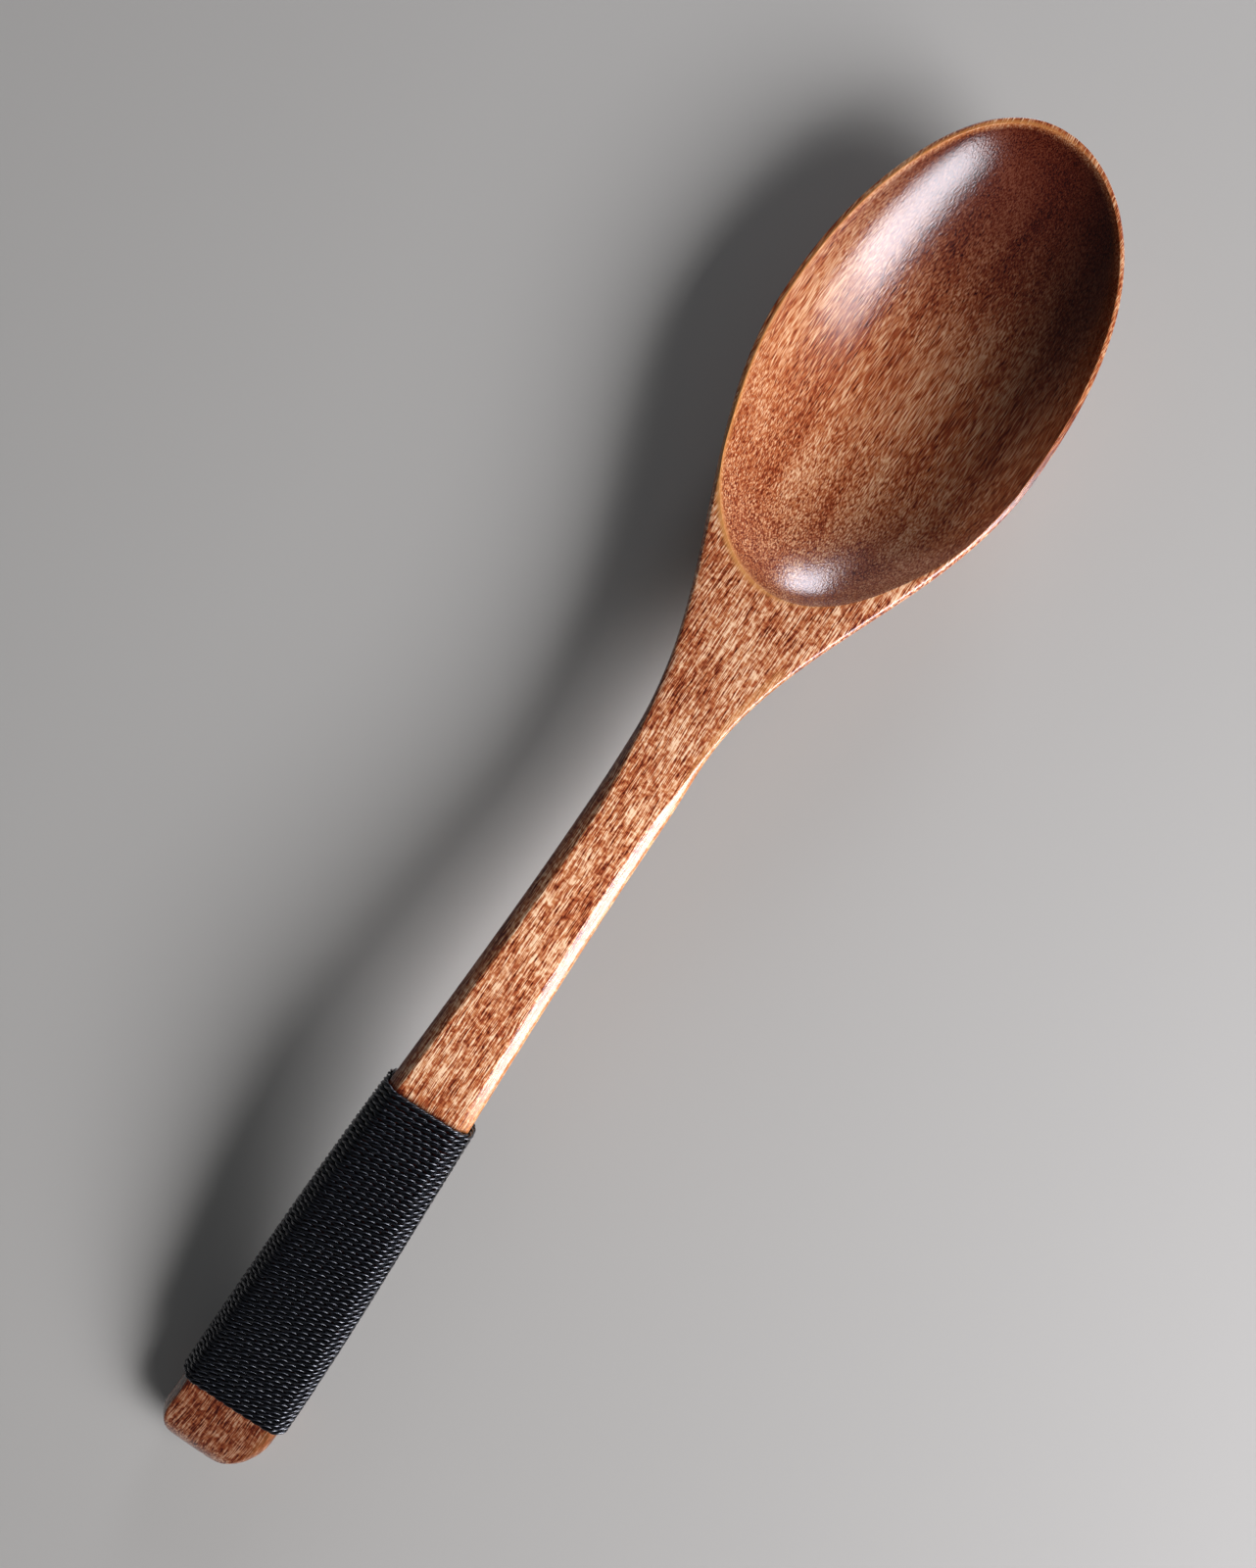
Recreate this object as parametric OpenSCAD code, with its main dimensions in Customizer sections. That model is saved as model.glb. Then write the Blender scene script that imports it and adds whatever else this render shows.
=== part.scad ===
// Table spoon carved from one piece of hardwood, with a cord wound round the end of its handle.
// +X runs from the butt of the handle to the tip of the bowl, +Y across, +Z up.
// The spoon lies on z = 0 with its bowl open upward, and x = 0 is the middle of its length.
// It rests on the bottom of the bowl and on the lower edge of the butt.

/* [Spoon] */
// Overall length, from the butt to the tip
spoon_len = 230; // [200:1:260]
// Height of the handle's crest above the table
crest_h = 18.6; // [16:0.1:24]
// Distance of the crest from the butt
crest_at = 72; // [60:1:84]

/* [Bowl] */
// Widest width of the bowl
bowl_w = 44.8; // [36:0.2:54]
// Length from the hollow's front edge to the tip
bowl_len = 77; // [64:0.5:90]
// Depth of the hollow below the rim
hollow_depth = 11.5; // [8:0.1:14]
// Thickness of the wood under the deepest place
bowl_floor = 3; // [2:0.1:4.5]
// Width of the flat rim round the hollow
rim_w = 0.8; // [0.6:0.1:2]
// How far the tip's rim stands above the middle of the rim
tip_rise = 1.5; // [0:0.1:4]

/* [Handle] */
// Width at the waist, where the handle is narrowest
waist_w = 10.9; // [8:0.1:16]
// Thickness at the waist
waist_t = 6.6; // [5:0.1:9]
// Height of the waist's top above the table
waist_h = 15.6; // [12:0.1:18]
// Length over which the neck widens from the waist to the bowl's widest place
neck_len = 65.5; // [56:0.5:78]
// Width at the butt
butt_w = 16.6; // [13:0.1:20]
// Thickness at the butt
butt_t = 6; // [5:0.1:8]
// Length of the butt's rounding, seen from above
butt_round = 7; // [4:0.5:9]

/* [Cord] */
// Thickness of the cord
cord_d = 0.88; // [0.7:0.02:1.2]
// Air between one turn of the cord and the next
turn_gap = 0.03; // [0.02:0.01:0.2]
// Bare wood left between the butt and the first turn
bare_butt = 12; // [7.5:0.5:14]
// Length of the winding along the handle
wrap_len = 56; // [36:1:60]
// Clearance between the wood and the cord
cord_clear = 0.05; // [0.04:0.01:0.3]

/* [Hidden] */
x_butt = -spoon_len / 2;
x_tip = spoon_len / 2;
x_crest = x_butt + crest_at;
nose = bowl_len / 2;            // widest place of the bowl to its tip
x_wide = x_tip - nose;
x_waist = x_wide - neck_len;    // the neck starts to widen here
rim_h = hollow_depth + bowl_floor;
rim_edge = 0.5;                 // height of the rim's rounded outer edge
nose_power = 2.1;               // fullness of the bowl's front half, 2 is an ellipse
side_power = [3, 2.1];          // fullness of the cross-section, at the handle and at the bowl
waist_run = 11;                 // length of the narrowest part, before the neck
wide_run = 2;                   // length of the bowl's widest part, before x_wide
droop = 1.5;                    // how the handle curves down towards the butt
hollow_power = [2.1, 0.72];     // shape of the hollow's wall, steep at its edge and flat below
upright_after = 60;             // length past the crest over which the sections turn upright
end_skip = 0.05;                // flat left at both ends of the loft
around = 48;                    // points round each ring of the body
butt_rings = 6;
handle_rings = 25;
edge_rings = 20;                // 1 mm apart, round the hollow's front edge
edge_lead = 8;                  // how far before that edge they start
bowl_rings = 10;
nose_rings = 18;
cord_sides = 6;
cord_steps = 16;                // rings in each turn of the cord
corner_bias = 13;               // degrees that a turn's rings are drawn towards the rounded corners
facet_sag = 0.008 * butt_w;     // how far the cord's straight facets cut inside its curve

// Rises smoothly from 0 to 1 as u goes from 0 to 1.
function ease(u) = (1 - cos(180 * min(max(u, 0), 1))) / 2;
function mix(a, b, u) = a + (b - a) * u;
// Quarter of a superellipse: 1 at u = 0, falling to 0 at u = 1.
function arch(u, power) = pow(max(1 - pow(min(abs(u), 1), power), 0), 1 / power);
// How far x has come along the neck, from the waist to the bowl's widest part.
function neck(x) = ease((x - x_waist) / (neck_len - wide_run));
// How far x has come along the taper, from the waist to where the butt's rounding starts.
function taper(x) = ease((x_waist - waist_run - x) / (x_waist - waist_run - x_butt - butt_round));
// Rounding of the butt, as a factor on a size, over a length from the end.
function butt_end(x, length, power) = arch(max(0, 1 - (x - x_butt) / length), power);

// Half of the width at x.
function half_w(x) =
    x < x_waist ? mix(waist_w, butt_w, taper(x)) / 2 * butt_end(x, butt_round, 2.4)
  : x < x_wide ? mix(waist_w, bowl_w, neck(x)) / 2
  : bowl_w / 2 * arch((x - x_wide) / nose, nose_power);

// Height of the handle's top and of the bowl's rim at x. The handle drops from its crest by as much
// as lets the rounded lower edge of the butt rest on the table.
butt_drop = (crest_h - 1.02 * butt_t) / pow(1 - butt_t / 2 / crest_at, droop);
function top_z(x) =
    x < x_crest ? crest_h - butt_drop * pow((x_crest - x) / crest_at, droop)
  : x < x_waist ? mix(crest_h, waist_h, ease((x - x_crest) / (x_waist - x_crest)))
  : x < x_wide ? mix(waist_h, rim_h, neck(x))
  : rim_h + tip_rise * pow((x - x_wide) / nose, 2);

// Thickness of the outer shape at x, as if it had no hollow.
function thick(x) =
    x < x_waist ? mix(butt_t, waist_t, (x - x_butt) / (x_waist - x_butt))
  : x < x_wide ? mix(waist_t, rim_h, neck(x))
  : rim_h * arch((x - x_wide) / nose, side_power[1]);

// Part of the thickness that lies above the widest line of the section.
function upper(x) = mix(thick(x) / 2, min(rim_edge, thick(x) / 2), neck(x));
function power_at(x) = mix(side_power[0], side_power[1], neck(x));

// Angle that the section at x leans by: square to the centre line in the handle, upright in the bowl.
function mid_z(x) = top_z(x) - thick(x) / 2;
function tilt(x) =
    atan(mid_z(x + 0.5) - mid_z(x - 0.5)) * (1 - ease((x - x_crest) / upright_after));

// Depth of the hollow under the rim at a place. Outside the hollow's outline it is 0.
hollow_nose = nose - rim_w;
hollow_half_w = bowl_w / 2 - rim_w;
function hollow(x, y) =
    let (along = (x - x_wide) / (x < x_wide ? nose : hollow_nose),
         r = norm([along, y / hollow_half_w]))
    r >= 1 ? 0 : hollow_depth * pow(1 - pow(r, hollow_power[0]), hollow_power[1]);

// A point of the section at x, across and up from its widest line. Angle 0 is the +Y side, 90 the
// top and 270 the bottom, and grow swells the outline.
function outline(x, angle, grow = 0) =
    let (p = power_at(x), w = half_w(x),
         h = (angle % 360 < 180 ? upper(x) : thick(x) - upper(x)) * butt_end(x, butt_t / 2, 2),
         c = cos(angle), s = sign(sin(angle)),
         outward = abs(c) > 0.9999 ? [sign(c), 0]
           : [sign(c) * pow(abs(c), p - 1) / w, s * pow(arch(c, p), p - 1) / h])
    [w * c, s * h * arch(c, p)] + grow * outward / norm(outward);

// Puts a section's point into the spoon's frame, on a plane square to the handle's centre line.
function placed(x, yv) =
    let (t = tilt(x), edge_z = top_z(x) - upper(x) / cos(t))
    [x - yv[1] * sin(t), yv[0], edge_z + yv[1] * cos(t)];

function body_point(x, angle) =
    let (p = placed(x, outline(x, angle)))
    angle > 0 && angle < 180 ? [p[0], p[1], p[2] - hollow(p[0], p[1])] : p;

// Skin of a loft: rings of equal length joined by quads, and both ends closed.
function loft_faces(rings, count) = concat(
    [[for (j = [0 : count - 1]) j]],
    [for (i = [0 : rings - 2], j = [0 : count - 1])
        let (k = (j + 1) % count)
        [(i + 1) * count + j, (i + 1) * count + k, i * count + k, i * count + j]],
    [[for (j = [count - 1 : -1 : 0]) (rings - 1) * count + j]]);

// Places of the body's rings: close together at the butt, the hollow's front edge and the tip.
x_edge = x_wide - nose - edge_lead;
stations = concat(
    [for (i = [0 : butt_rings - 1]) x_butt + end_skip + butt_round * (1 - cos(90 * i / butt_rings))],
    [for (i = [0 : handle_rings - 1]) mix(x_butt + butt_round, x_edge, i / handle_rings)],
    [for (i = [0 : edge_rings - 1]) x_edge + i],
    [for (i = [0 : bowl_rings - 1]) mix(x_edge + edge_rings, x_wide, i / bowl_rings)],
    [for (i = [0 : nose_rings]) x_wide + (nose - end_skip) * sin(90 * i / nose_rings)]);

module spoon_body() {
    color("#8a4226")
    polyhedron(
        points = [for (x = stations, j = [0 : around - 1]) body_point(x, j * 360 / around)],
        faces = loft_faces(len(stations), around));
}

// The winding is as many whole turns as fit its length, with half a cord's width at each end.
pitch = cord_d + turn_gap;
turns = floor(wrap_len / pitch) - 1;
wrap_start = x_butt + bare_butt + pitch / 2;

// Ring of the cord, i steps after its start: one of its directions points away from the wood, and
// the other along the handle.
function cord_ring(i) =
    let (x = wrap_start + pitch * i / cord_steps, t = tilt(x),
         turn = i * 360 / cord_steps, angle = turn - corner_bias * sin(2 * turn),
         inside = cord_clear + facet_sag,
         mid = placed(x, outline(x, angle, inside + cord_d / 2)),
         outside = placed(x, outline(x, angle, inside + cord_d)),
         out = (outside - mid) / norm(outside - mid), along = [cos(t), 0, sin(t)])
    [for (k = [0 : cord_sides - 1])
        let (a = k * 360 / cord_sides)
        mid + cord_d / 2 * (cos(a) * out - sin(a) * along)];

module cord_winding() {
    rings = turns * cord_steps + 1;
    color("#15171c")
    polyhedron(points = [for (i = [0 : rings - 1], p = cord_ring(i)) p],
               faces = loft_faces(rings, cord_sides));
}

spoon_body();
cord_winding();
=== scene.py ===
"""Carved hardwood spoon with a cord wound round the end of its handle.

+X runs from the butt of the handle to the tip of the bowl, +Z is up, and the spoon lies on
z = 0 with its bowl open upward. The shape functions work in millimetres, and MM turns their
results into the frame's metres.
"""

import math

import bmesh
import bpy
import numpy as np
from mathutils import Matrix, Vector


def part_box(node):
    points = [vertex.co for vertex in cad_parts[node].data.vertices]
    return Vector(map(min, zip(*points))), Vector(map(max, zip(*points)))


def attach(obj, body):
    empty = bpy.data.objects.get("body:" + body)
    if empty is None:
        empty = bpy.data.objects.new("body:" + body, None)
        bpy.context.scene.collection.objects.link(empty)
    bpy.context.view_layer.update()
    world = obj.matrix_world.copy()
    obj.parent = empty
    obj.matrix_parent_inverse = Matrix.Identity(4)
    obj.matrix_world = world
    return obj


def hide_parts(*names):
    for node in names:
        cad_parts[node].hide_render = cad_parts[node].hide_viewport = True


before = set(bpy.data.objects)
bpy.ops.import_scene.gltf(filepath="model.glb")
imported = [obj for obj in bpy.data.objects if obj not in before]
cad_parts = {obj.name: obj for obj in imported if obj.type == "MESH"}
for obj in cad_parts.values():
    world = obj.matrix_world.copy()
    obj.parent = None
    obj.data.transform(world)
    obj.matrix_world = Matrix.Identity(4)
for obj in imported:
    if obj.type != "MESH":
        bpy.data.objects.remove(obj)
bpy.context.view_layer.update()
MM = 0.001

# ---------------------------------------------------------------- sizes, in millimetres
wood_low, wood_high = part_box("spoon_body")
SPOON_LEN = round((wood_high.x - wood_low.x) / MM)
BOWL_W = (wood_high.y - wood_low.y) / MM
CREST_H = 18.6
CREST_AT = 72
BOWL_LEN = 77
HOLLOW_DEPTH = 11.5
BOWL_FLOOR = 3
RIM_W = 0.8
TIP_RISE = 1.5
WAIST_W, WAIST_T, WAIST_H = 10.9, 6.6, 15.6
WAIST_RUN = 11
NECK_LEN = 65.5
WIDE_RUN = 2
BUTT_W, BUTT_T, BUTT_ROUND = 16.6, 6, 7
CORD_D, CORD_PITCH = 0.88, 0.91
BARE_BUTT, WRAP_LEN = 12, 56

X_TIP = SPOON_LEN / 2
X_BUTT = -X_TIP
X_CREST = X_BUTT + CREST_AT
NOSE = BOWL_LEN / 2
X_WIDE = X_TIP - NOSE
X_FRONT = X_WIDE - NOSE          # front edge of the hollow
X_WAIST = X_WIDE - NECK_LEN
RIM_H = HOLLOW_DEPTH + BOWL_FLOOR
RIM_EDGE = 0.5                   # height of the rim's rounded outer edge
NOSE_POWER = 2.1
END_SKIP = 0.05
HOLLOW_HALF_W = BOWL_W / 2 - RIM_W
CARVED_ASIDE = 0.9               # the hollow's front end leans this far to the left
BEVEL_BLEND = 0.006              # how softly the flat top passes into the bevelled edge
BEVEL_NECK = (0.36, 0.38)        # slope and bend of the edge at the bowl
BEVEL_LEFT = (0.85, 0.38)        # and on the handle's two sides
BEVEL_RIGHT = (0.4, 0.05)
SANDED = (0.12, 0.3)             # rounding of the hollow's edge, on the right and on the left


# ---------------------------------------------------------------- the spoon's shape
def ease(u):
    """Rises smoothly from 0 to 1 as u goes from 0 to 1."""
    return (1 - np.cos(np.pi * np.clip(u, 0, 1))) / 2


def mix(a, b, u):
    return a + (b - a) * u


def arch(u, power):
    """Quarter of a superellipse: 1 at u = 0, falling to 0 at u = 1."""
    return np.maximum(1 - np.minimum(np.abs(u), 1) ** power, 0) ** (1 / power)


def neck(x):
    return ease((x - X_WAIST) / (NECK_LEN - WIDE_RUN))


def sway(x):
    """How far the hand-carved spoon strays from a straight line, towards +Y."""
    handle = -0.7 + 0.5 * ease(x / 22) - 0.5 * ease((-50 - x) / 50)
    butt = 0.7 * np.clip((-108 - x) / 7, 0, 1)
    tip = 0.35 * ease((x - 48) / 30) + 1.1 * np.clip((x - 96) / 19, 0, 1) ** 2
    return handle + butt + tip


def butt_end(x, length, power):
    return arch(np.maximum(0, 1 - (x - X_BUTT) / length), power)


def half_w(x):
    slim = X_WAIST - WAIST_RUN
    taper = ease((slim - x) / (slim - X_BUTT - BUTT_ROUND))
    handle = mix(WAIST_W, BUTT_W, taper) / 2 * butt_end(x, BUTT_ROUND, 2.4)
    flare = mix(WAIST_W, BOWL_W, neck(x)) / 2
    nose = BOWL_W / 2 * arch((x - X_WIDE) / NOSE, NOSE_POWER)
    return np.where(x < X_WAIST, handle, np.where(x < X_WIDE, flare, nose))


BUTT_DROP = (CREST_H - 1.02 * BUTT_T) / (1 - BUTT_T / 2 / CREST_AT) ** 1.5


def top_z(x):
    droop = CREST_H - BUTT_DROP * np.clip((X_CREST - x) / CREST_AT, 0, 1) ** 1.5
    fall = mix(CREST_H, WAIST_H, ease((x - X_CREST) / (X_WAIST - X_CREST)))
    flare = mix(WAIST_H, RIM_H, neck(x))
    rim = RIM_H + TIP_RISE * ((x - X_WIDE) / NOSE) ** 2
    return np.where(x < X_CREST, droop, np.where(x < X_WAIST, fall, np.where(x < X_WIDE, flare, rim)))


def thick(x):
    handle = mix(BUTT_T, WAIST_T, (x - X_BUTT) / (X_WAIST - X_BUTT))
    flare = mix(WAIST_T, RIM_H, neck(x))
    nose = RIM_H * arch((x - X_WIDE) / NOSE, 2.1)
    return np.where(x < X_WAIST, handle, np.where(x < X_WIDE, flare, nose))


def upper(x):
    return mix(thick(x) / 2, np.minimum(RIM_EDGE, thick(x) / 2), neck(x))


def tilt(x):
    slope = (top_z(x + 0.5) - thick(x + 0.5) / 2) - (top_z(x - 0.5) - thick(x - 0.5) / 2)
    return np.arctan(slope) * (1 - ease((x - X_CREST) / 60))


def hollow_radius(x, y):
    """1 on the hollow's outline and 0 over its deepest place."""
    aside = CARVED_ASIDE * (1 - ease((x - 46) / 14))
    along = np.where(x < X_WIDE, (X_WIDE - x) / NOSE, (x - X_WIDE) / (NOSE - RIM_W))
    across = np.abs(y - aside) / HOLLOW_HALF_W
    power = np.where(x < X_WIDE, 2.0, NOSE_POWER)
    return (np.abs(along) ** power + across ** power) ** (1 / power)


def hollow(x, y):
    """Depth under the rim, with the edge rounded over by sanding: more on the left than the right."""
    r = np.minimum(hollow_radius(x, y), 1)
    sharp = HOLLOW_DEPTH * (1 - r ** 2.1) ** 0.72
    rounding = mix(*SANDED, ease((y + 8) / 16))
    return np.sqrt(sharp ** 2 + rounding ** 2) - rounding


def flat_share(x):
    """Share of the half-width that is flat on top. Beyond it the edge is rounded over."""
    to_neck = ease((x + 8) / 29) ** 1.5
    to_butt = ease((-8 - x) / 107) ** 0.7
    return 0.635 + 0.33 * to_neck + 0.235 * to_butt


def profile(x, turn):
    """Offsets across and up from the widest line of the section, at a turn round it from +Y. The
    top is flat as far as flat_share, then slopes down more and more to a nearly upright side."""
    across, top = np.cos(turn), np.sin(turn) >= 0
    h = upper(x)
    share = flat_share(x)
    bevel = (np.abs(across) - share) / (1 - share)
    bevel = (bevel + np.sqrt(bevel ** 2 + BEVEL_BLEND)) / 2
    left = across > 0
    steep = mix(BEVEL_NECK[0], mix(BEVEL_RIGHT[0], BEVEL_LEFT[0], left), 1 - neck(x))
    bend = mix(BEVEL_NECK[1], mix(BEVEL_RIGHT[1], BEVEL_LEFT[1], left), 1 - neck(x))
    drop = (1 - share) * half_w(x) * (steep * bevel + bend * bevel ** 2)
    upward = h * (np.exp(-drop / h) - 0.04 * across ** 2) * arch(across, 14)
    downward = -(thick(x) - h) * arch(across, mix(3, 2.1, neck(x)))
    end = np.where(top, butt_end(x, BUTT_T * 0.8, 2), butt_end(x, BUTT_T / 2, 2))
    oblique = butt_end(x, BUTT_ROUND * 1.5, 2.1) / butt_end(x, BUTT_ROUND, 2.4)
    side = np.where(left, across, across * np.minimum(oblique, 1))
    return half_w(x) * side, np.where(top, upward, downward) * end


def section(x, turn, grow=0.0):
    """A point of the section at x, and grow lifts it off the surface."""
    y, v = profile(x, turn)
    if grow:
        ahead, behind = profile(x, turn + 0.002), profile(x, turn - 0.002)
        along_y, along_v = ahead[0] - behind[0], ahead[1] - behind[1]
        size = np.hypot(along_y, along_v)
        y = y + grow * along_v / size
        v = v - grow * along_y / size
    lean = tilt(x)
    edge_z = top_z(x) - upper(x) / np.cos(lean)
    return np.stack([x - v * np.sin(lean), y, edge_z + v * np.cos(lean)], axis=-1)


# ---------------------------------------------------------------- spoon body
BAND, INSIDE, UNDER = 8, 88, 56   # segments of the rim band, the hollow and the underside
X_CORNER = X_FRONT + 12           # where the front edge's arc meets the rings' side lines
LEAST_SPREAD = 0.5                # rings near the tip stay spread at least this wide
BUTT_RINGS, HANDLE_RINGS, NECK_RINGS, BOWL_RINGS, TIP_RINGS = 14, 95, 40, 62, 64
CROWDING = 1.8                    # how much rings crowd towards the hollow's front edge


def hollow_share(x, side):
    """The hollow's half-width at x as a share of the outer half-width, on one side."""
    aside = CARVED_ASIDE * (1 - ease((x - 46) / 14)) * side
    power = np.where(x < X_WIDE, 2.0, NOSE_POWER)
    along = np.where(x < X_WIDE, (X_WIDE - x) / NOSE, (x - X_WIDE) / (NOSE - RIM_W))
    inner = HOLLOW_HALF_W * np.maximum(1 - np.minimum(along, 1) ** power, 0) ** (1 / power)
    return np.maximum((inner + aside) / half_w(x), LEAST_SPREAD)


def ring_shares(x):
    """Shares of the half-width for a ring's top, from +Y to -Y, then back along its underside."""
    left, right = hollow_share(x, 1), hollow_share(x, -1)
    k = np.arange(BAND) / BAND
    band_left = mix(left, 1, np.cos(math.pi / 2 * k))
    band_right = -mix(right, 1, np.cos(math.pi / 2 * (1 - k - 1 / BAND)))
    inside = (left - right) / 2 + (left + right) / 2 * np.cos(np.linspace(0, math.pi, INSIDE + 1))
    under = -np.cos(np.linspace(0, math.pi, UNDER + 1)[1:-1])
    shares = np.concatenate([band_left, inside, band_right, under])
    side = np.ones(len(shares))
    side[BAND + INSIDE + 1 + BAND:] = -1
    return shares, side


def front_arc(shares, side):
    """Where each line of a ring meets the hollow's front edge."""
    low, high = np.full(shares.shape, X_FRONT - 1.0), np.full(shares.shape, float(X_CORNER))
    for _ in range(40):
        middle = (low + high) / 2
        outside = hollow_radius(middle, shares * half_w(middle)) > 1
        low, high = np.where(outside, middle, low), np.where(outside, high, middle)
    inside = np.zeros(shares.shape, bool)
    inside[BAND:BAND + INSIDE + 1] = True
    return np.where(inside & (side > 0), (low + high) / 2, X_CORNER)


def body_rings():
    """Rings of the body. Near the hollow's front edge they bow forward to follow it."""
    corner_shares, side = ring_shares(np.array(float(X_CORNER)))
    arc = front_arc(corner_shares, side)
    start = X_WAIST + 6
    rings = []
    for a in np.linspace(0, math.pi / 2, BUTT_RINGS, endpoint=False):
        rings.append((X_BUTT + END_SKIP + BUTT_ROUND * (1 - math.cos(a)), corner_shares))
    for x in np.linspace(X_BUTT + BUTT_ROUND, start, HANDLE_RINGS, endpoint=False):
        rings.append((x, corner_shares))
    for m in np.linspace(1, 0, NECK_RINGS, endpoint=False):
        rings.append((mix(arc, start, m ** CROWDING), corner_shares))
    for m in np.linspace(0, 1, BOWL_RINGS, endpoint=False):
        along = mix(X_CORNER, X_WIDE, m ** CROWDING)
        rings.append((mix(arc, X_WIDE, m ** CROWDING), ring_shares(along)[0]))
    for a in np.linspace(0, math.pi / 2, TIP_RINGS):
        x = X_WIDE + (NOSE - END_SKIP) * math.sin(a)
        rings.append((x, ring_shares(x)[0]))
    placed = []
    for x, shares in rings:
        ring = section(x + np.zeros(len(shares)), np.arccos(shares) * side)
        ring[:, 2] -= hollow(ring[:, 0], ring[:, 1]) * (side > 0)
        ring[:, 1] += sway(ring[:, 0])
        placed.append(ring * MM)
    return placed


def loft(name, rings):
    """Skins rings by extruding a circle from one to the next, and gathers both ends to a point."""
    bm = bmesh.new()
    ring = bmesh.ops.create_circle(bm, segments=len(rings[0]), radius=1)["verts"]
    first = list(ring)
    for vert, place in zip(ring, rings[0]):
        vert.co = place
    for places in rings[1:]:
        edges = [bm.edges.get((a, b)) for a, b in zip(ring, ring[1:] + ring[:1])]
        made = bmesh.ops.extrude_edge_only(bm, edges=edges)["geom"]
        fresh = {v for v in made if isinstance(v, bmesh.types.BMVert)}
        ring = [next(e.other_vert(v) for e in v.link_edges if e.other_vert(v) in fresh) for v in ring]
        for vert, place in zip(ring, places):
            vert.co = place
    for end in (first, ring):
        centre = sum((v.co for v in end), Vector()) / len(end)
        edges = [bm.edges.get((a, b)) for a, b in zip(end, end[1:] + end[:1])]
        made = bmesh.ops.extrude_edge_only(bm, edges=edges)["geom"]
        bmesh.ops.pointmerge(bm, verts=[v for v in made if isinstance(v, bmesh.types.BMVert)],
                             merge_co=centre)
    bmesh.ops.recalc_face_normals(bm, faces=bm.faces)
    for face in bm.faces:
        face.smooth = True
    mesh = bpy.data.meshes.new(name)
    bm.to_mesh(mesh)
    bm.free()
    piece = bpy.data.objects.new(name, mesh)
    bpy.context.collection.objects.link(piece)
    return piece


def edge_distance(x, y):
    """Distance from the hollow's outline, less than 0 inside it."""
    step = 0.05
    r = hollow_radius(x, y)
    slope = np.hypot(hollow_radius(x + step, y) - r, hollow_radius(x, y + step) - r) / step
    return (r - 1) / np.maximum(slope, 1e-4)


def worn_and_highlit_share(x, y, z, across):
    """Share of pale wood: worn along the hollow's edge, and a painted highlight on the handle's right
    bevel.
    """
    left = ease((y + 10) / 18)
    front = 1 - ease((x - 52) / 16)
    width = mix(0.2, mix(0.24, 0.5, front), left)
    edge = np.exp(-((edge_distance(x, y) - 0.1) / width) ** 2) * mix(0.2, 0.9, left)
    # painted highlight: the right bevel, which faces the window light, is painted pale
    painted_highlight_band = np.clip((-across - 0.74) / 0.08, 0, 1) * (x < 30)
    return np.maximum(np.clip(edge, 0, 1) * (z > top_z(x) - 1.6), 0.4 * painted_highlight_band)


def dark_ends_and_shade(x, y, across, inside, tip, butt):
    """Share of darkening: darker towards the tip inside the hollow and over the bare butt, and
    painted shade under the winding, on the neck, at the hollow's front right and on the handle's
    left bevel. The painted shade under the winding keeps anything pale from showing between the turns."""
    winding_end = X_BUTT + BARE_BUTT + WRAP_LEN - 1.5
    # painted shade: the wood under the winding is darkened like the cord's shadow
    wound = (x > X_BUTT + BARE_BUTT + 0.5) & (x < winding_end)
    # painted shade on the neck's top, outside the hollow
    neck_shade = 0.2 * ease((x - 2) / 22) * (inside < 0.5) * (x < X_CORNER + 6)
    # painted shade on the hollow's front right wall, which faces away from the window light
    front_right = 0.35 * ease(-y / 12) * ease((68 - x) / 16) * inside
    # painted shade on the handle's left bevel, which faces away from the window light
    left_side = 0.8 * np.clip((across - 0.74) / 0.2, 0, 1) * (x < 24)
    return np.max([tip, wound, 0.65 * butt, neck_shade, front_right, left_side], axis=0)


def mark_wood(piece):
    """Stores where the body is made paler (worn edges, and a painted highlight) or darker (darker
    ends, and painted shade), where it is inside the hollow or open-pored, and the place of each
    point along, across and above the grain."""
    mesh = piece.data
    places = np.empty(len(mesh.vertices) * 3)
    mesh.vertices.foreach_get("co", places)
    x, y, z = (places.reshape(-1, 3) / MM).T
    y = y - sway(x)
    across = y / np.maximum(half_w(x), 0.1)
    low = z < top_z(x) - 0.15
    inside = np.clip(-edge_distance(x, y) / 0.5, 0, 1) * low * (hollow(x, y) > 0)
    under = z < top_z(x) - hollow(x, y) - 0.6
    rim = np.clip((x - 50) / 20, 0, 1) * (z > top_z(x) - 1)
    tip = 0.95 * ease((x - 66) / 44) * inside
    butt = x < X_BUTT + BARE_BUTT + 0.5
    marks = {
        # pale worn edges, and a painted highlight on the handle's right bevel
        "edge_wear": worn_and_highlit_share(x, y, z, across),
        "in_hollow": np.maximum(inside * ~under, rim),
        # darker ends, and painted shade under the winding, on the neck, at the front right and on the
        # left bevel
        "deep_stain": dark_ends_and_shade(x, y, across, inside, tip, butt),
        "end_grain": np.maximum(tip, 0.9 * butt),
        "open_pores": 0.75 * ease((64 - x) / 22) * ease((y + 12) / 14) * inside,
    }
    for name, values in marks.items():
        layer = mesh.attributes.new(name, "FLOAT", "POINT")
        layer.data.foreach_set("value", values.astype(np.float32))
    grain_place = np.column_stack([x, y, z - top_z(x)]) * MM
    layer = mesh.attributes.new("grain_place", "FLOAT_VECTOR", "POINT")
    layer.data.foreach_set("vector", grain_place.astype(np.float32).ravel())
    loops = np.empty(len(mesh.loops), dtype=int)
    mesh.loops.foreach_get("vertex_index", loops)
    flat = mesh.uv_layers.new(name="along_grain")
    flat.data.foreach_set("uv", np.column_stack([x, y])[loops].astype(np.float32).ravel())


# ---------------------------------------------------------------- cord winding
PLIES = 3
PLY_R = 0.197
PLY_OFFSET = CORD_D / 2 + 0.01 - PLY_R   # from the cord's middle to a ply's
LAY = 4.4                        # length of cord in which a ply goes once round
STEP = 0.28                      # spacing of the points along a ply
CORD_AIR = 0.02                  # between the wood and the cord


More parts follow.
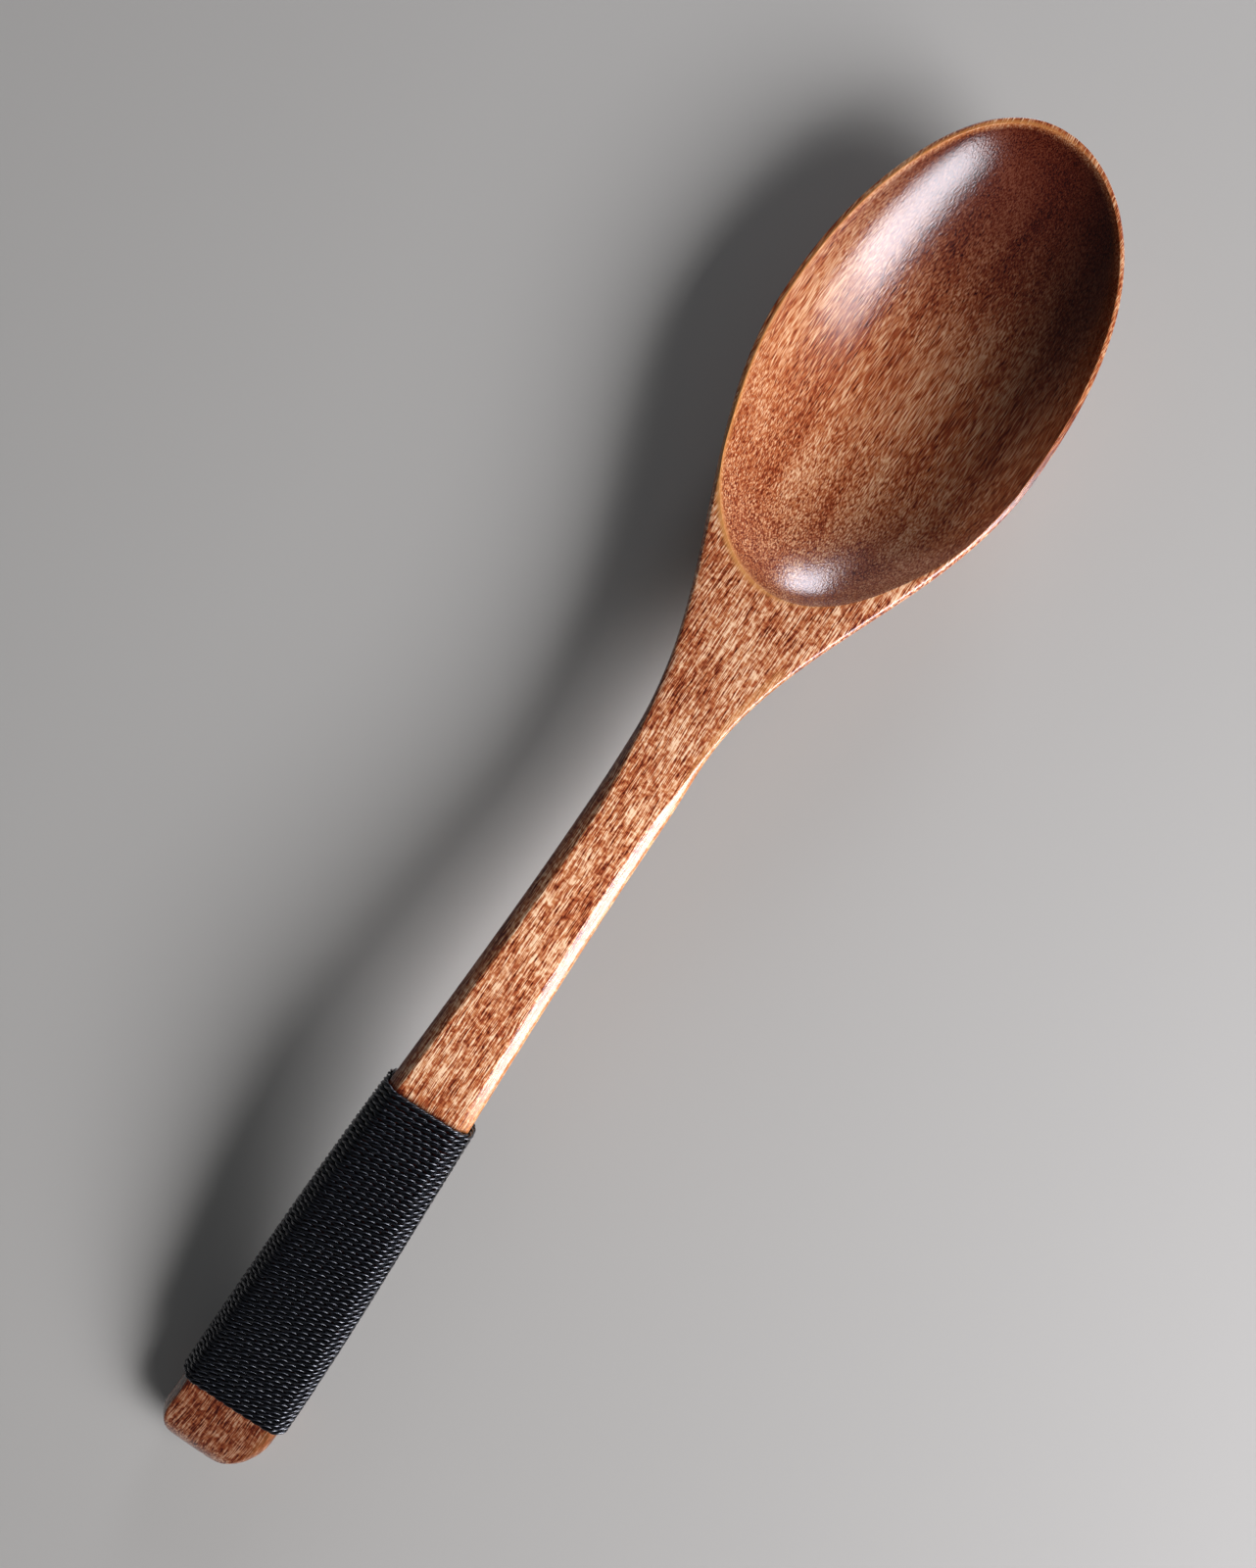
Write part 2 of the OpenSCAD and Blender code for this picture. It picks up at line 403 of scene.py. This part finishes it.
def winding_line():
    """Middle of the cord, the direction away from the wood there, and the length so far."""
    turns = WRAP_LEN // CORD_PITCH - 1
    turn = np.linspace(0, turns, int(turns * 720)) * 2 * math.pi
    x = X_BUTT + BARE_BUTT + CORD_PITCH * (turn / (2 * math.pi) + 0.5)
    middle = section(x, turn, CORD_D / 2 + CORD_AIR)
    middle[:, 1] += sway(x)
    outside = section(x, turn, CORD_D + CORD_AIR)
    outside[:, 1] += sway(x)
    away = outside - middle
    away /= np.linalg.norm(away, axis=1)[:, None]
    length = np.concatenate([[0], np.cumsum(np.linalg.norm(np.diff(middle, axis=0), axis=1))])
    return middle, away, length


def resample(values, length, places):
    return np.stack([np.interp(places, length, values[:, k]) for k in range(3)], axis=1)


def ply(name, number, line):
    """One of the cord's plies, a tube that twists round the cord's middle as the cord is wound."""
    middle, away, length = line
    places = np.arange(0, length[-1], STEP)
    centre, out = resample(middle, length, places), resample(away, length, places)
    forward = np.gradient(centre, axis=0)
    forward /= np.linalg.norm(forward, axis=1)[:, None]
    sideways = np.cross(forward, out)
    uneven = 0.05 * np.sin(places / 4.1) + 0.07 * np.sin(places / 9.7 + 1)
    turn = -2 * math.pi * (places / LAY + number / PLIES + uneven)
    path = centre + PLY_OFFSET * (np.cos(turn)[:, None] * out + np.sin(turn)[:, None] * sideways)
    curve = bpy.data.curves.new(name, "CURVE")
    curve.dimensions = "3D"
    curve.bevel_depth = PLY_R * MM
    curve.bevel_resolution = 1
    curve.use_fill_caps = True
    spline = curve.splines.new("POLY")
    spline.points.add(len(path) - 1)
    spline.points.foreach_set("co", np.column_stack([path * MM, np.ones(len(path))]).ravel())
    spline.use_smooth = True
    source = bpy.data.objects.new(name + "_path", curve)
    bpy.context.collection.objects.link(source)
    depsgraph = bpy.context.evaluated_depsgraph_get()
    mesh = bpy.data.meshes.new_from_object(source.evaluated_get(depsgraph))
    mesh.name = name
    bpy.data.objects.remove(source)
    piece = bpy.data.objects.new(name, mesh)
    bpy.context.collection.objects.link(piece)
    return piece


# ---------------------------------------------------------------- materials
def colour(code):
    """An sRGB hex value as linear RGBA."""
    parts = [int(code[i:i + 2], 16) / 255 for i in (1, 3, 5)]
    return [c / 12.92 if c <= 0.04045 else ((c + 0.055) / 1.055) ** 2.4 for c in parts] + [1]


def add(tree, kind, inputs=None, **settings):
    """Adds a node. Inputs are values, or (node, output) pairs to link from."""
    made = tree.nodes.new(kind)
    for name, value in settings.items():
        setattr(made, name, value)
    for socket, value in (inputs or {}).items():
        if isinstance(value, tuple) and isinstance(value[0], bpy.types.Node):
            tree.links.new(value[0].outputs[value[1]], made.inputs[socket])
        else:
            made.inputs[socket].default_value = value
    return made


def ramp(tree, factor, stops):
    """A colour ramp through (place, colour) stops."""
    made = add(tree, "ShaderNodeValToRGB", {0: factor})
    line = made.color_ramp
    while len(line.elements) < len(stops):
        line.elements.new(0.5)
    for element, (place, value) in zip(line.elements, stops):
        element.position = place
        element.color = value
    return made


def new_material(name):
    material = bpy.data.materials.new(name)
    material.use_nodes = True
    material.node_tree.nodes.clear()
    return material, material.node_tree


def grain(tree, place, length, thickness, detail=3.0, distortion=0.0):
    """Noise drawn out along the spoon: length and thickness of its streaks in millimetres."""
    stretched = add(tree, "ShaderNodeMapping", {
        "Vector": place, "Scale": (1 / (length * MM), 1 / (thickness * MM), 1 / (thickness * MM))})
    return add(tree, "ShaderNodeTexNoise", {
        "Vector": (stretched, 0), "Scale": 1.0, "Detail": detail, "Distortion": distortion})


def blend(tree, parts):
    """Weighted sum of noises, each taken about its middle value, and set back about a half."""
    total = 0.5 - sum(weight for _, weight in parts) / 2
    for source, weight in parts:
        made = add(tree, "ShaderNodeMath", {0: (source, 0), 1: weight, 2: total},
                   operation="MULTIPLY_ADD")
        total = (made, 0)
    return made


def lacquered_hardwood():
    """Reddish-brown hardwood, carved, sanded and dipped in clear lacquer. The eye gets fine short
    dark streaks along the grain, open dark pores at the hollow's left front, faint broad bands,
    a silky sheen where the fibres lie flat, and a glossy film over all of it."""
    material, tree = new_material("lacquered_hardwood")
    place = (add(tree, "ShaderNodeAttribute", attribute_name="grain_place"), "Vector")
    hollow_zone = (add(tree, "ShaderNodeAttribute", attribute_name="in_hollow"), "Fac")
    bands = grain(tree, place, 60, 6, 2.0, 0.4)
    mottle = grain(tree, place, 9, 5, 2.0, 0.8)
    wobble = add(tree, "ShaderNodeTexNoise", {"Vector": place, "Scale": 1 / (3.5 * MM), "Detail": 1.0})
    wavy = add(tree, "ShaderNodeVectorMath", {
        0: (wobble, "Color"), 1: (0, 0.25 * MM, 0.25 * MM), 2: place}, operation="MULTIPLY_ADD")
    vessels = grain(tree, (wavy, 0), 5, 0.22, 1.0)
    fibre = grain(tree, (wavy, 0), 2, 0.13, 1.0)
    ripple = grain(tree, place, 0.6, 0.9, 1.0, 0.5)
    pores = add(tree, "ShaderNodeMapRange", {0: (vessels, 0), 1: 0.4, 2: 0.47, 3: 1.0, 4: 0.0},
                interpolation_type="SMOOTHSTEP")
    handle_tone = blend(tree, ((mottle, 0.6), (vessels, 1.1), (fibre, 1.6), (ripple, 0.85)))
    hollow_tone = blend(tree, ((bands, 0.8), (mottle, 0.25), (vessels, 0.8), (fibre, 1.5)))
    tone = add(tree, "ShaderNodeMix", {0: hollow_zone, 2: (handle_tone, 0), 3: (hollow_tone, 0)})
    wood = ramp(tree, (tone, 0), [
        (0.1, colour("#4d1408")), (0.38, colour("#a34c28")),
        (0.56, colour("#ca804c")), (0.86, colour("#ffd8ae"))])
    open_pores = add(tree, "ShaderNodeAttribute", attribute_name="open_pores")
    dark_pores = add(tree, "ShaderNodeMath", {0: (open_pores, "Fac"), 1: (pores, 0)},
                     operation="MULTIPLY")
    wood = add(tree, "ShaderNodeMix", {0: (dark_pores, 0), 6: (wood, 0), 7: colour("#6b1f0b")},
               data_type="RGBA")
    # pale worn wood at the hollow's edge, and a painted highlight on the handle's right bevel
    worn_and_highlit = add(tree, "ShaderNodeAttribute", attribute_name="edge_wear")
    wood = add(tree, "ShaderNodeMix", {0: (worn_and_highlit, "Fac"), 6: (wood, 2), 7: colour("#cf9050")},
               data_type="RGBA")
    wood = add(tree, "ShaderNodeMix", {0: hollow_zone, 6: (wood, 2), 7: colour("#d9cfc8")},
               data_type="RGBA", blend_type="MULTIPLY")
    # darker ends, and painted shade under the winding, on the neck, at the hollow's front right and on
    # the left bevel
    darkening = add(tree, "ShaderNodeAttribute", attribute_name="deep_stain")
    wood = add(tree, "ShaderNodeMix", {0: (darkening, "Fac"), 6: (wood, 2), 7: colour("#6a3220")},
               data_type="RGBA", blend_type="MULTIPLY")
    height = blend(tree, ((vessels, 0.8), (fibre, 0.3)))
    bump = add(tree, "ShaderNodeBump", {"Strength": 0.9, "Distance": 0.00009, "Height": (height, 0)})
    film = add(tree, "ShaderNodeBump", {"Strength": 0.5, "Distance": 0.00006, "Height": (height, 0)})
    end_grain = add(tree, "ShaderNodeAttribute", attribute_name="end_grain")
    sheen = add(tree, "ShaderNodeMix", {0: (end_grain, "Fac"), 6: (wood, 2), 7: colour("#1c0d07")},
                data_type="RGBA")
    tangent = add(tree, "ShaderNodeTangent", direction_type="UV_MAP", uv_map="along_grain")
    shader = add(tree, "ShaderNodeBsdfPrincipled", {
        "Base Color": (wood, 2), "Roughness": 0.52, "IOR": 1.5, "Normal": (bump, 0),
        "Specular IOR Level": 1.0, "Specular Tint": (sheen, 2),
        "Anisotropic": 0.88, "Anisotropic Rotation": 0.25, "Tangent": (tangent, 0),
        "Coat Weight": 1.0, "Coat Roughness": 0.17, "Coat IOR": 1.5, "Coat Normal": (film, 0)})
    add(tree, "ShaderNodeOutputMaterial", {"Surface": (shader, 0)})
    return material


def waxed_cord():
    """Black waxed polyester cord of three twisted plies. The eye gets blue-black beads with a
    small soft glint on each."""
    material, tree = new_material("waxed_cord")
    place = (add(tree, "ShaderNodeTexCoord"), "Object")
    fuzz = add(tree, "ShaderNodeTexNoise", {"Vector": place, "Scale": 1 / (0.15 * MM), "Detail": 2.0})
    tint = ramp(tree, (fuzz, 0), [(0.35, colour("#010102")), (0.7, colour("#050609"))])
    bump = add(tree, "ShaderNodeBump", {"Strength": 0.4, "Distance": 0.00003, "Height": (fuzz, 0)})
    shader = add(tree, "ShaderNodeBsdfPrincipled", {
        "Base Color": (tint, 0), "Roughness": 0.32, "IOR": 1.5, "Normal": (bump, 0),
        "Specular IOR Level": 0.4, "Specular Tint": colour("#dde8ff"),
        "Coat Weight": 1.0, "Coat Roughness": 0.11, "Coat IOR": 1.5, "Coat Normal": (bump, 0)})
    add(tree, "ShaderNodeOutputMaterial", {"Surface": (shader, 0)})
    return material


def pale_floor():
    """Matte painted board, there only to lie on."""
    material, tree = new_material("pale_floor")
    shader = add(tree, "ShaderNodeBsdfPrincipled", {
        "Base Color": colour("#a5a39c"), "Roughness": 0.7})
    add(tree, "ShaderNodeOutputMaterial", {"Surface": (shader, 0)})
    return material


# ---------------------------------------------------------------- camera, lights, floor
CAMERA_H = 185.6 * MM            # above the floor, looking straight down
CAMERA_AT = (4.6 * MM, 1.5 * MM)
AXIS_TURN = math.radians(-55.9)  # the spoon lies this far from the frame's sideways direction
LENS = 27.74


def make_camera():
    camera = bpy.data.objects.new("camera", bpy.data.cameras.new("camera"))
    bpy.context.collection.objects.link(camera)
    camera.data.lens = LENS
    camera.data.sensor_width = 36
    camera.data.clip_start = 0.01
    camera.location = (*CAMERA_AT, CAMERA_H)
    camera.rotation_euler = (0, 0, AXIS_TURN)
    bpy.context.scene.camera = camera


def area_light(name, azimuth, elevation, distance, size, power, tint="#ffffff"):
    """A soft square light that faces the spoon. Azimuth is from +X towards +Y."""
    data = bpy.data.lights.new(name, "AREA")
    data.energy = power
    data.color = colour(tint)[:3]
    data.shape = "RECTANGLE"
    data.size, data.size_y = size
    light = bpy.data.objects.new(name, data)
    bpy.context.collection.objects.link(light)
    a, e = math.radians(azimuth), math.radians(elevation)
    to_light = Vector((math.cos(a) * math.cos(e), math.sin(a) * math.cos(e), math.sin(e)))
    light.location = to_light * distance
    light.rotation_mode = "QUATERNION"
    light.rotation_quaternion = to_light.to_track_quat("Z", "Y")
    return light


def make_floor():
    bm = bmesh.new()
    bmesh.ops.create_grid(bm, x_segments=2, y_segments=2, size=1.5)
    mesh = bpy.data.meshes.new("floor")
    bm.to_mesh(mesh)
    bm.free()
    floor = bpy.data.objects.new("floor", mesh)
    bpy.context.collection.objects.link(floor)
    floor.location.z = -0.0001
    mesh.materials.append(pale_floor())


def make_world():
    world = bpy.data.worlds.new("studio")
    world.use_nodes = True
    world.node_tree.nodes["Background"].inputs[0].default_value = colour("#dfe3ea")
    world.node_tree.nodes["Background"].inputs[1].default_value = 0.08
    bpy.context.scene.world = world


# ---------------------------------------------------------------- build
make_camera()
make_world()
make_floor()
area_light("window", -88, 32, 1.0, (0.86, 0.6), 14, "#f9f8ff")
area_light("window_middle", -89, 32, 0.98, (0.56, 0.42), 8, "#f3f3ff")
area_light("second_window", 12, 12, 1.0, (0.3, 0.28), 4.4, "#eef1ff")

body = loft("carved_body", body_rings())
mark_wood(body)
body.data.materials.append(lacquered_hardwood())
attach(body, "root")
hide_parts("spoon_body")

line = winding_line()
cord_material = waxed_cord()
for number in range(PLIES):
    strand = ply(f"cord_ply_{number + 1}", number, line)
    strand.data.materials.clear()
    strand.data.materials.append(cord_material)
    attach(strand, "root")
    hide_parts("cord_winding")

bpy.context.scene.view_settings.view_transform = "Standard"
